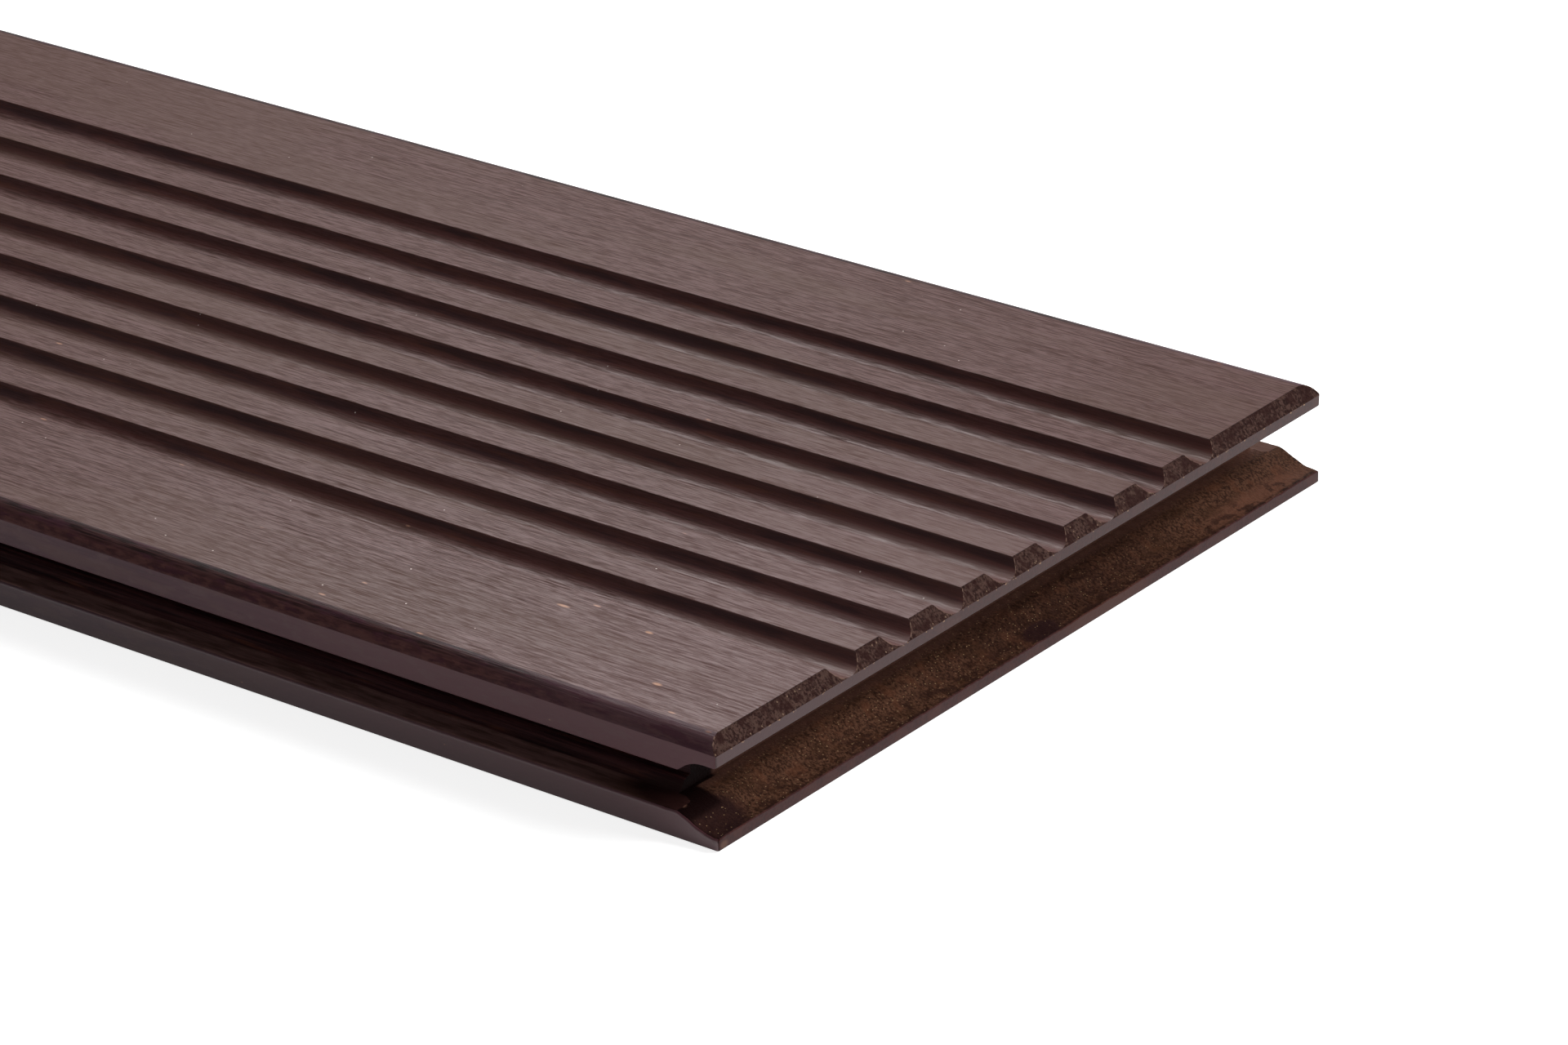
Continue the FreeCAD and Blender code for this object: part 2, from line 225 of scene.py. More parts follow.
# %% Rows: the outline of the end
LIP_TOP, SLOT_FLOOR, SLOT_MIDDLE, SLOT_TOP, END_ROOF = 2.4, 5.4, 8.6, 11.8, 15.3
BEVEL_FOOT = THICK - BEVEL_DROP
BEVEL_EDGE = 0.5
BELOW_BEVEL = 0.15
end_soft = HALF_LENGTH - LIP_EDGE
slot_in = HALF_LENGTH - FLOOR_RUN
slot_back = HALF_LENGTH - END_DEPTH
roof_in = HALF_LENGTH - ROOF_FLAT
inward = stations[stations > 0]
slot_steps = inward[(inward >= slot_back - HAIR) & (inward <= slot_in + HAIR)][::-1]
lip_steps = inward[(inward >= roof_in - HAIR) & (inward <= end_soft + HAIR)]
bevel_slope = math.degrees(math.atan2(BEVEL_DROP, BEVEL_REACH))
bevel_shoulder = HALF_LENGTH - BEVEL_REACH - BEVEL_EDGE * math.tan(math.radians(bevel_slope / 2))
floor_line = s_curve((end_soft, LIP_TOP), (slot_in, SLOT_FLOOR), 14)
end_reach, end_height = outline(
    arc((end_soft, LIP_EDGE), LIP_EDGE, -90, 0, 3),
    arc((end_soft, LIP_TOP - LIP_EDGE), LIP_EDGE, 0, 90, 3),
    floor_line,
    level_run(slot_steps, SLOT_FLOOR),
    ([slot_back], [SLOT_MIDDLE]),
    s_curve((slot_back, SLOT_TOP), (roof_in, END_ROOF), 10),
    level_run(lip_steps, END_ROOF),
    arc((end_soft, END_ROOF + LIP_EDGE), LIP_EDGE, -90, 0, 3),
    ([HALF_LENGTH, HALF_LENGTH], [BEVEL_FOOT - BELOW_BEVEL, BEVEL_FOOT]),
    arc((bevel_shoulder, THICK - BEVEL_EDGE), BEVEL_EDGE, 90 - bevel_slope, 90, 4),
)
print(f"end outline: {len(end_reach)} points")

# %% Rows: both outlines together
row_height = np.union1d(edge_height[edge_height < BEVEL_FOOT], end_height[end_height < BEVEL_FOOT])
row_half_width = np.interp(row_height, edge_height, edge_reach)
lift = np.array([0.0, 0.012, 0.1, 0.3, 0.5, 0.7, 0.85, 0.94, 0.976, 0.994, 1.0])
level_rows = len(row_height)
row_count = level_rows + len(lift)
print(f"{row_count} rows, {level_rows} of them level")

# %% [markdown]
# ## The skin
#
# Now every lattice point has a place. Its height is its row's, and from the bevel's foot up it is a
# share of the way to the top face. Its place across is its column, held in by the row's half width.
# Its place along is its station, held in by the half length at its height. Where the lattice is held
# in, points fall on each other, and those doubles are merged at the end.


# %% Lattice to surface
def lattice(row, column, station):
    """Points in mm, before the lips are rounded, for arrays of row, column and station numbers that
    broadcast together."""
    row, column, station = np.broadcast_arrays(row, column, station)
    level = np.minimum(row, level_rows - 1)
    above = np.clip(row - level_rows, 0, len(lift) - 1)
    climbing = BEVEL_FOOT + lift[above] * (crown[column] - BEVEL_FOOT)
    up = np.where(row < level_rows, row_height[level], climbing)
    half_width = np.where(row < level_rows, row_half_width[level], HALF_WIDTH)
    half_length = np.interp(up, end_height, end_reach)
    out = np.clip(columns[column], -half_width, half_width)
    along = np.clip(stations[station], -half_length, half_length)
    return np.stack([along, out, up], -1)


probe = lattice(np.array([level_rows + 3]), np.array([len(columns) // 2]), np.array([0]))
print("a point on the back bevel:", np.round(probe, 2).tolist())

# %% [markdown]
# ## Handled edges
#
# A board that has been handled has no razor edges. The lower lip's outer edge is worn round by 0.7 mm,
# and the upright corners of both lips by half a millimetre. A bevel modifier would stumble over the
# grooves that run out there, so the lattice is bent instead: one bend works on heights near the long
# edge, and one works on the plan near a corner.


# %% The lower lip's outer edge
SLACK = 0.01


def round_lower_lip(points):
    """Bends the outer edge of the lower lip down. At a gap g from the long edge, nearer than the
    radius r, its top drops by r minus the root of r squared less the square of r minus g, and
    everything below drops in proportion, so that the underside stays where it is."""
    along, out, up = np.abs(points[:, 0]), np.abs(points[:, 1]), points[:, 2]
    inward = np.clip(out - (HALF_WIDTH - LIP_ROUND), 0, LIP_ROUND)
    drop = LIP_ROUND - np.sqrt(LIP_ROUND ** 2 - inward ** 2)
    floor_top = np.interp(along, floor_line[0][::-1], floor_line[1][::-1])
    lip_top = np.minimum(floor_top, LEDGE)
    bent = points.copy()
    bent[:, 2] = np.where(up < LEDGE + SLACK, up * (1 - drop / lip_top), up)
    return bent


# %% The upright corners
WORN_CORNER, CRISP_CORNER, CRISP_WITHIN = 0.5, 0.3, 1.2


def round_corners(points):
    """Rounds the plan at each corner. Squares about the circle's centre become circles of the same
    reach: both offsets are multiplied by the larger one over their root sum of squares. The radius
    shrinks where the bevel starts, so that the bevel keeps a crisp end."""
    radius = np.interp(points[:, 2], [BEVEL_FOOT - CRISP_WITHIN, BEVEL_FOOT],
                       [WORN_CORNER, CRISP_CORNER])
    along = np.abs(points[:, 0]) - (HALF_LENGTH - radius)
    out = np.abs(points[:, 1]) - (HALF_WIDTH - radius)
    corner = (along > 0) & (out > 0)
    shrink = np.where(corner, np.maximum(along, out) / np.maximum(np.hypot(along, out), 1e-9), 1.0)
    bent = points.copy()
    bent[:, 0] -= np.sign(points[:, 0]) * np.where(corner, along * (1 - shrink), 0.0)
    bent[:, 1] -= np.sign(points[:, 1]) * np.where(corner, out * (1 - shrink), 0.0)
    return bent


worn_corner = round_corners(np.array([[HALF_LENGTH, HALF_WIDTH, LIP_TOP / 2]]))
print("a worn lip corner:", np.round(worn_corner, 2).tolist())

# %% [markdown]
# ## Marks of the cutter
#
# The floor of the end groove is cut across the grain, and it tears: it is slightly pitted, and where
# it runs out on the thin lower lip the edge wanders and has small notches. A displacement modifier
# could do it, but a sum of sine waves with seeded phases is exact, cheap and the same on each run.

# %% Pits and ragged edge
TEAR_DEPTH = 0.08
PITS = ((2.2, 40, 5, 1.0), (5.5, 24, 6, 0.6))
LIP_WANDER = 0.05
WANDERS = ((7.0, 24, 7), (2.6, 24, 8))
NOTCHES = ((-47.0, 0.18, 3.5), (8.5, 0.16, 2.4), (44.0, 0.14, 1.6), (-71.5, 0.12, 1.2),
           (27.0, 0.1, 1.5))


def waves(places, spread, count, seed):
    """Sum of sine waves over any number of coordinates: random direction, wavelength from half of
    the spread to twice it, random phase, scaled so that the sum stays about within one."""
    dice = np.random.default_rng(seed)
    direction = dice.normal(size=(count, places.shape[-1]))
    direction /= np.linalg.norm(direction, axis=1)[:, None]
    length = spread * 2.0 ** dice.uniform(-1, 1, count)
    phase = dice.uniform(0, 2 * math.pi, count)
    angle = places @ (direction * (2 * math.pi / length)[:, None]).T + phase
    return np.sin(angle).sum(-1) / math.sqrt(2 * count)


def bump_over(value, low, high, fade):
    """One between low and high, falling smoothly to nought within the fade outside them."""
    away = np.maximum(np.maximum(low - value, value - high), 0) / fade
    return np.where(away < 1, (1 - np.minimum(away, 1) ** 2) ** 2, 0.0)


def tear(points, square):
    """Moves points on the end groove's floor down or up, and its edge on the lower lip too. The
    same points before any rounding, the square ones, say which they are."""
    along, out, up = np.abs(square[:, 0]), square[:, 1], square[:, 2]
    floor = bump_over(along, slot_in, end_soft - 0.4, fade=0.4)
    floor = floor * bump_over(up, LIP_TOP, SLOT_FLOOR, fade=0.05)
    edge = bump_over(along, end_soft - 0.3, HALF_LENGTH, fade=2.2)
    edge = edge * bump_over(up, LIP_TOP - 0.2, LIP_TOP + 0.1, fade=0.5)
    pits = sum(share * waves(square[:, :2], spread, count, seed) for spread, count, seed, share in PITS)
    wander = LIP_WANDER * sum(waves(out[:, None], spread, count, seed) for spread, count, seed in WANDERS)
    for middle, depth, width in NOTCHES:
        wander = wander - depth * np.exp(-((out - middle) / width) ** 2)
    moved = points.copy()
    moved[:, 2] += floor * TEAR_DEPTH * pits + edge * wander
    return moved


print(f"{len(NOTCHES)} notches, pits up to about {TEAR_DEPTH} mm")

# %% [markdown]
# ## Six sheets, one closed skin
#
# The shell of the lattice has six sheets: top, underside, two long edges and two ends. Each is a
# grid of four-sided faces in an order that makes it face outwards. Each face also gets a finish
# number from the row or column that it lies in. Then doubles merge and the skin is closed.

# %% Finishes by zone
FINISHES = ("brushed_face", "eased_arris", "planed_edge", "polished_edge", "clip_groove", "end_lip",
            "rubbed_lip", "end_bevel", "end_groove", "underside")
number = {name: place for place, name in enumerate(FINISHES)}
NEXT_TO = 0.02
RAGGED_RIM = 0.06


def edge_finish(out, up):
    """Finish on a long edge, at a place across and a height. The outermost of the lower lip's round
    is polished like the edge below it."""
    rounded = (np.abs(out) > HALF_WIDTH - LIP_EDGE) & (up < LEDGE + NEXT_TO)
    grooved = (up > LEDGE - NEXT_TO) & (up < CLIP_TOP + NEXT_TO) & ~rounded
    return np.select([grooved, up < LEDGE + NEXT_TO],
                     [number["clip_groove"], number["polished_edge"]], number["planed_edge"])


def end_finish(out, up):
    """Finish on an end, at a place across and a height."""
    rounded = (np.abs(out) > HALF_WIDTH - LIP_EDGE) & (up < LEDGE + NEXT_TO)
    grooved = (up > LIP_TOP - RAGGED_RIM) & (up < END_ROOF + NEXT_TO)
    bevelled = up > BEVEL_FOOT
    return np.select([bevelled, grooved & rounded, grooved, up < LIP_TOP],
                     [number["end_bevel"], number["polished_edge"], number["end_groove"],
                      number["rubbed_lip"]], number["end_lip"])


# %% Put the sheets together
ROW, COLUMN, STATION = np.arange(row_count), np.arange(len(columns)), np.arange(len(stations))


def sheet(down, along, outward, place):
    """Points and faces of one sheet. Place turns the two grid numbers into lattice points, and
    outward turns the faces over where their own order would make them face in."""
    first, second = np.meshgrid(down, along, indexing="ij")
    points = place(first, second).reshape(-1, 3)
    ids = np.arange(points.shape[0]).reshape(first.shape)
    faces = np.stack([ids[:-1, :-1], ids[:-1, 1:], ids[1:, 1:], ids[1:, :-1]], -1).reshape(-1, 4)
    return points, faces if outward else faces[:, ::-1]


last_row, last_column, last_station = ROW[-1], COLUMN[-1], STATION[-1]
sheets = [
    sheet(COLUMN, STATION, True, lambda a, b: lattice(last_row, a, b)),
    sheet(COLUMN, STATION, False, lambda a, b: lattice(0, a, b)),
    sheet(ROW, STATION, True, lambda a, b: lattice(a, 0, b)),
    sheet(ROW, STATION, False, lambda a, b: lattice(a, last_column, b)),
    sheet(ROW, COLUMN, True, lambda a, b: lattice(a, b, last_station)),
    sheet(ROW, COLUMN, False, lambda a, b: lattice(a, b, 0)),
]
first_point = np.cumsum([0] + [len(points) for points, _ in sheets])
skin_points = np.concatenate([points for points, _ in sheets])
skin_faces = np.concatenate([faces + start for (_, faces), start in zip(sheets, first_point)])
face_sheet = np.repeat(np.arange(6), [len(faces) for _, faces in sheets])
middle = skin_points[skin_faces].mean(1)
print(f"{len(skin_points)} lattice points, {len(skin_faces)} faces before merging")

# %% Choose each face's finish
ridge = np.abs(middle[:, 1]) > arris_middle[0]
face_finish = np.select(
    [face_sheet == 0, face_sheet == 1, face_sheet < 4],
    [np.where(ridge, number["eased_arris"], number["brushed_face"]),
     np.full(len(middle), number["underside"]), edge_finish(middle[:, 1], middle[:, 2])],
    end_finish(middle[:, 1], middle[:, 2]))
for name, place in number.items():
    print(f"  {name}: {(face_finish == place).sum()} faces")


# %% Make the board's mesh
WEAR_REACH = 0.45
WELD, SLIVER = 1e-6, 1e-7
SHARP_TURN = 34


def edge_wear(points):
    """Nearness to the crisp edge where a flute's wall, or an arris, ends in the bevel: one on the
    edge, and falling straight to nought at the reach of the wear."""
    along, out, up = np.abs(points[:, 0]), points[:, 1], points[:, 2]
    top = top_height(out)
    away = np.hypot(top - up, np.interp(up, end_height, end_reach) - along)
    sloped = (top > BEVEL_FOOT + BELOW_BEVEL) & (top < THICK - 0.1)
    return np.where(sloped, np.clip(1 - away / WEAR_REACH, 0, 1), 0.0)


def closed_mesh(name, points, faces, finish, wear):
    """A mesh in metres from points in mm: merges doubles, drops faces that fell together."""
    mesh = bpy.data.meshes.new(name)
    mesh.from_pydata((points * MM).tolist(), [], faces.tolist())
    mesh.polygons.foreach_set("material_index", finish.astype(np.int32))
    mesh.attributes.new("edge_wear", "FLOAT", "POINT").data.foreach_set("value", wear)
    work = bmesh.new()
    work.from_mesh(mesh)
    bmesh.ops.remove_doubles(work, verts=work.verts, dist=WELD)
    bmesh.ops.dissolve_degenerate(work, edges=work.edges, dist=SLIVER)
    open_edges = sum(not edge.is_manifold for edge in work.edges)
    work.to_mesh(mesh)
    work.free()
    return mesh, open_edges


worn_points = tear(round_corners(round_lower_lip(skin_points)), skin_points)
board_mesh, open_edges = closed_mesh("decking_board", worn_points, skin_faces, face_finish,
                                     edge_wear(skin_points))
board_mesh.shade_smooth()
board_mesh.set_sharp_from_angle(angle=math.radians(SHARP_TURN))
board = bpy.data.objects.new("decking_board", board_mesh)
bpy.context.scene.collection.objects.link(board)
board_mesh.calc_loop_triangles()
print(f"decking_board: {len(board_mesh.loop_triangles)} triangles, {open_edges} open edges")

# %% Let the flats rule the shading
FLATS_FIRST = 100
weighted = board.modifiers.new("flats_rule", "WEIGHTED_NORMAL")
weighted.keep_sharp = True
weighted.weight = FLATS_FIRST
print("weighted normals on", board.name)

# %% [markdown]
# ## Finishes
#
# Bamboo strands run along the board. One noise field that is stretched along the length therefore
# gives streaks on the faces and fine specks where the ends cut across it, as in the real stock. All
# patterns read Object coordinates, so they stay where they are from every side. Places are in mm.
#
# Each finish starts with its strands, from a dark colour to a light one, and then lays colours over
# them. A layer has a label, a colour, and the masks whose product says where it goes and how
# strongly. Two helpers keep the node trees readable: one adds a node, and one holds a finish.


# %% A helper that adds nodes
def add_node(tree, kind, inputs, **settings):
    """Adds a node with its settings. A socket is wired into its input, and a value is written."""
    node = tree.nodes.new(kind)
    for name, value in settings.items():
        setattr(node, name, value)
    for socket, value in inputs.items():
        if isinstance(value, bpy.types.NodeSocket):
            tree.links.new(value, node.inputs[socket])
        else:
            node.inputs[socket].default_value = value
    return node


def colour(red, green, blue):
    """A linear colour."""
    return (red, green, blue, 1.0)


WORN = colour(0.20, 0.125, 0.095)
print("worn edges:", WORN[:3])


# %% A helper that builds finishes
class Finish:
    """A material in the making. Fields and masks are output sockets that the next step can use."""

    def __init__(self, name, roughness, gloss):
        self.material = bpy.data.materials.new(name)
        self.material.use_nodes = True
        self.tree = self.material.node_tree
        self.shader = self.tree.nodes["Principled BSDF"]
        self.shader.inputs["Roughness"].default_value = roughness
        self.shader.inputs["Specular IOR Level"].default_value = gloss
        self.place = self.add("ShaderNodeTexCoord", {}).outputs["Object"]
        self.tone = None

    def add(self, kind, inputs, **settings):
        """Adds a node to this finish's tree."""
        return add_node(self.tree, kind, inputs, **settings)

    def stretched(self, long_mm, wide_mm, shift):
        """Coordinates in which a step of one is so many mm along the board and across it."""
        scale = (MM_PER_METRE / long_mm, MM_PER_METRE / wide_mm, MM_PER_METRE / wide_mm)
        moved = (shift, 1.7 * shift, -0.6 * shift)
        inputs = {"Vector": self.place, "Scale": scale, "Location": moved}
        return self.add("ShaderNodeMapping", inputs).outputs["Vector"]

    def noise(self, long_mm, wide_mm, shift, detail=3.0, rough=0.6):
        """Soft noise whose grains are so many mm long and wide. The shift gives each its own part."""
        inputs = {"Vector": self.stretched(long_mm, wide_mm, shift), "Scale": 1.0, "Detail": detail,
                  "Roughness": rough}
        return self.add("ShaderNodeTexNoise", inputs).outputs["Fac"]

    def ramp(self, value, low, high, bottom=0.0, top=1.0):
        """Maps low..high smoothly to bottom..top."""
        inputs = {"Value": value, "From Min": low, "From Max": high, "To Min": bottom, "To Max": top}
        node = self.add("ShaderNodeMapRange", inputs, interpolation_type="SMOOTHSTEP")
        return node.outputs["Result"]

    def maths(self, operation, first, second):
        """One step of arithmetic."""
        return self.add("ShaderNodeMath", {0: first, 1: second}, operation=operation).outputs[0]

    def product(self, *masks):
        """All masks multiplied. The first is a field, and the others are fields or plain shares."""
        whole = masks[0]
        for mask in masks[1:]:
            whole = self.maths("MULTIPLY", whole, mask)
        return whole

    def mean(self, first, second, share):
        """Mixes two fields: a share of the second, and the rest of the first."""
        return self.maths("ADD", self.product(first, 1 - share), self.product(second, share))

    def band(self, axis, low_mm, high_mm, fade_mm):
        """One between two places on an axis, and nought past the fade outside them."""
        along = self.add("ShaderNodeSeparateXYZ", {0: self.place}).outputs[axis]
        low, high, fade = low_mm * MM, high_mm * MM, fade_mm * MM
        return self.product(self.ramp(along, low - fade, low), self.ramp(along, high + fade, high))

    def spot(self, at_mm, size_mm, core=0.3):
        """One spot at a place: nearness in coordinates divided by its three sizes. It is full within
        the core's share of them."""
        scale = tuple(MM_PER_METRE / size for size in size_mm)
        moved = tuple(-at / size for at, size in zip(at_mm, size_mm))
        inputs = {"Vector": self.place, "Scale": scale, "Location": moved}
        mapped = self.add("ShaderNodeMapping", inputs).outputs["Vector"]
        length = self.add("ShaderNodeVectorMath", {0: mapped}, operation="LENGTH")
        return self.ramp(length.outputs["Value"], 1.0, core)

    def specks(self, long_mm, wide_mm, share, size=0.35, shift=0.0):
        """Sparse spots: Voronoi cells, of which only a share is chosen, each drawn within a size."""
        inputs = {"Vector": self.stretched(long_mm, wide_mm, shift), "Scale": 1.0}
        cells = self.add("ShaderNodeTexVoronoi", inputs)
        lot = self.add("ShaderNodeSeparateColor", {0: cells.outputs["Color"]}).outputs[0]
        near = self.ramp(cells.outputs["Distance"], size, size * 0.4)
        return self.product(self.maths("LESS_THAN", lot, share), near)

    def wear(self):
        """The mesh's own edge wear, broken up by noise."""
        worn = self.add("ShaderNodeAttribute", {}, attribute_name="edge_wear").outputs["Fac"]
        patchy = self.ramp(self.noise(1.2, 0.9, 27.0, detail=2.0, rough=0.5), 0.44, 0.64, 0.0, 0.8)
        return self.product(self.ramp(worn, 0.4, 0.9), patchy)

    def blend(self, share, first, second, label=""):
        """Mixes two colours."""
        inputs = {0: share, 6: first, 7: second}
        return self.add("ShaderNodeMix", inputs, data_type="RGBA", label=label).outputs[2]

    def strands(self, field, low, high, dark, light):
        """Starts the tone: dark where the field is low, and light where it is high."""
        self.tone = self.blend(self.ramp(field, low, high), dark, light, "strands")

    def layer(self, label, paint, *masks):
        """Lays a colour, or a mix of colours, over the tone by the product of the masks."""
        self.tone = self.blend(self.product(*masks), self.tone, paint, label)

    def done(self, height, depth_mm, roughness=None):
        """Wires in the tone, a bump from a height field, and a roughness field if there is one."""
        inputs = {"Height": height, "Distance": depth_mm * MM, "Strength": 1.0}
        bump = self.add("ShaderNodeBump", inputs)
        self.tree.links.new(self.tone, self.shader.inputs["Base Color"])
        self.tree.links.new(bump.outputs["Normal"], self.shader.inputs["Normal"])
        if roughness:
            self.tree.links.new(roughness, self.shader.inputs["Roughness"])
        print(self.material.name, "made")
        return self


print("helpers ready")

# %% [markdown]
# ### The brushed top
#
# The top is brushed along the grain. It is a dark red-brown that looks greyer at a low angle, where
# the satin surface mirrors the pale surroundings. The light strands are smoother than the dark ones,
# so they mirror more, and that draws most of the fine lines. A few longer strokes are darker and
# rougher still. The flute walls are redder, with rusty stains and gloomy stretches. The near half of
# the shown end is painted paler and greyer, as dust and painted sheen, and the end has three flecks
# of raw bamboo where the photograph does.

# %% Brushed face
FLECKS = (((903.4, -77.2, 20.0), (1.3, 0.6, 1.0)), ((871.2, -62.9, 20.0), (1.8, 0.5, 1.0)),
          ((889.9, -62.7, 20.0), (1.1, 0.5, 1.0)))
DARK_ROUGHNESS, LIGHT_ROUGHNESS, STROKE_ROUGHNESS = 0.54, 0.34, 0.12

brushed = Finish("brushed_face", LIGHT_ROUGHNESS, 0.5)
dash = brushed.noise(3.4, 0.26, 3.0)
fine = brushed.noise(9, 0.42, 0.0)
mid = brushed.noise(28, 1.1, 11.0, rough=0.55)
streak = brushed.mean(brushed.mean(dash, fine, 0.42), mid, 0.12)
strokes = brushed.ramp(brushed.noise(11, 0.34, 71.0, detail=2.0, rough=0.5), 0.54, 0.64)
patches = brushed.ramp(brushed.noise(90, 14, 5.0, rough=0.5), 0.44, 0.60, 0.0, 0.5)
shown_end = brushed.band("X", 905.0, 930.0, 60.0)
near_half = brushed.band("Y", -90.0, -5.0, 65.0)
flute_walls = brushed.band("Z", 18.3, 19.6, 0.35)
stains = brushed.ramp(brushed.noise(14, 1.6, 47.0), 0.52, 0.68, 0.0, 0.6)
gloom = brushed.ramp(brushed.noise(30, 3, 53.0), 0.48, 0.62, 0.0, 0.6)
brushed.strands(streak, 0.41, 0.59, colour(0.056, 0.014, 0.008), colour(0.122, 0.053, 0.049))
brushed.layer("dark stroke", colour(0.036, 0.009, 0.004), strokes, 0.6)
brushed.layer("brown patch", colour(0.088, 0.038, 0.026), patches)
# Dust and painted sheen: the near half of the shown end is painted paler and greyer.
brushed.layer("dust_and_sheen", colour(0.170, 0.092, 0.089), shown_end, near_half, 0.27)
brushed.layer("red wall", colour(0.088, 0.016, 0.014), flute_walls, 0.55)
brushed.layer("rusty stain", colour(0.120, 0.035, 0.020), flute_walls, stains)
brushed.layer("gloomy stretch", colour(0.030, 0.008, 0.012), flute_walls, gloom)
brushed.layer("raw bamboo", colour(0.36, 0.18, 0.11), brushed.specks(3.0, 0.9, 0.0018))
brushed.layer("pale crumb", colour(0.6, 0.52, 0.48), brushed.specks(0.7, 0.7, 0.0012, 0.3, 3.0))
for place, size in FLECKS:
    brushed.layer("raw bamboo", colour(0.38, 0.19, 0.11), brushed.spot(place, size))
satin = brushed.ramp(streak, 0.40, 0.60, DARK_ROUGHNESS, LIGHT_ROUGHNESS)
satin = brushed.maths("ADD", satin, brushed.product(strokes, STROKE_ROUGHNESS))
brushed.done(brushed.mean(dash, fine, 0.5), 0.035, satin)

# %% Eased arris
arris = Finish("eased_arris", 0.36, 0.14)
fine = arris.noise(9, 0.5, 2.0)
mottle = arris.ramp(arris.noise(3, 0.9, 73.0), 0.4, 0.6)
blots = arris.ramp(arris.noise(6, 1.6, 4.0), 0.48, 0.64, 0.0, 0.6)
# Painted shade: the arris is painted dark near the top, and only its lower part is painted lighter.
lit_lower_tone = arris.blend(mottle, colour(0.072, 0.026, 0.028), colour(0.122, 0.049, 0.046))
arris.strands(fine, 0.38, 0.62, colour(0.013, 0.0045, 0.0045), colour(0.056, 0.022, 0.022))
arris.layer("painted light lower part", lit_lower_tone, arris.band("Z", 16.0, 18.6, 1.0), 0.85)
# Dust and painted sheen: the arris is painted paler and mauver towards the shown end.
arris.layer("dust_and_sheen", colour(0.108, 0.056, 0.066), arris.band("X", 905.0, 930.0, 40.0), 0.6)
arris.layer("purple blot", colour(0.060, 0.018, 0.030), blots)
arris.layer("rusty speck", colour(0.20, 0.070, 0.040), arris.specks(2.5, 0.8, 0.012))
arris.layer("chip", colour(0.55, 0.22, 0.10), arris.spot((921.3, -85.9, 19.4), (1.6, 0.7, 0.7)))
arris.layer("worn edge", WORN, arris.wear(), 0.75)
arris.done(fine, 0.1)

# %% [markdown]
# ### Edges and lips
#
# The long edges are planed smooth, and the lower one is glossier, as though more often handled. The
# clip groove is dull and streaked with rust. Its near ledge is painted pale as painted light, and the
# ledge's end at the near corner is painted dark as painted shade. Both lips of an end are smooth, and
# the upper one is painted paler and greyer towards the near corner, as dust and painted sheen.


# %% Planed long edges
def planed_finish(name, gloss):
    """Smooth mauve-brown planed stock, with faint streaks, clouds and dust."""
    planed = Finish(name, 0.36, gloss)
    fine = planed.noise(30, 0.5, 7.0, rough=0.55)
    clouds = planed.ramp(planed.noise(18, 3.5, 8.0, rough=0.5), 0.45, 0.62, 0.0, 0.8)
    dust_and_sheen = planed.ramp(planed.noise(5, 1.8, 79.0, detail=4.0, rough=0.65), 0.5, 0.66, 0.0, 0.5)
    planed.strands(fine, 0.3, 0.7, colour(0.052, 0.009, 0.019), colour(0.071, 0.015, 0.028))
    planed.layer("cloud", colour(0.085, 0.028, 0.029), clouds)
    planed.layer("pale end", colour(0.099, 0.030, 0.038), planed.band("X", 870.0, 930.0, 90.0))
    planed.layer("dust_and_sheen", colour(0.104, 0.042, 0.046), dust_and_sheen)
    planed.layer("rusty speck", colour(0.30, 0.12, 0.07), planed.specks(1.6, 0.7, 0.004, 0.3, 6.0))
    planed.layer("worn edge", WORN, planed.wear())
    return planed.done(fine, 0.03)


PLANED_GLOSS, POLISHED_GLOSS = 0.32, 0.82
planed = planed_finish("planed_edge", PLANED_GLOSS)
polished = planed_finish("polished_edge", POLISHED_GLOSS)

# %% Clip groove
clip = Finish("clip_groove", 0.5, 0.15)
fine = clip.noise(22, 0.6, 9.0)
rust = clip.ramp(clip.noise(16, 1.3, 13.0), 0.56, 0.72, 0.0, 0.8)
ledge = clip.band("Z", 4.5, 5.25, 0.3)
near_side = clip.band("Y", -90.0, -80.0, 1.0)
short_of_end = clip.band("X", -930.0, 888.0, 26.0)
light_breakup = clip.ramp(clip.noise(7, 1.0, 43.0, rough=0.5), 0.35, 0.6, 0.35, 1.0)
shaded_ledge_end = clip.spot((916.0, -84.0, 5.0), (16.0, 7.0, 2.5), 0.6)
clip.strands(fine, 0.36, 0.64, colour(0.020, 0.005, 0.007), colour(0.070, 0.022, 0.023))
clip.layer("rust", colour(0.12, 0.036, 0.022), rust)
clip.layer("ledge", colour(0.085, 0.038, 0.027), ledge)
# Painted light: the ledge on the near side is painted pale in patches, short of the shown end.
clip.layer("painted light on near ledge", colour(0.24, 0.125, 0.115), ledge, near_side, short_of_end, light_breakup)
# Painted shade: the ledge's end at the near corner, under the upper lip, is painted dark.
clip.layer("painted shade at ledge end", colour(0.030, 0.011, 0.010), shaded_ledge_end)
clip.done(fine, 0.1)


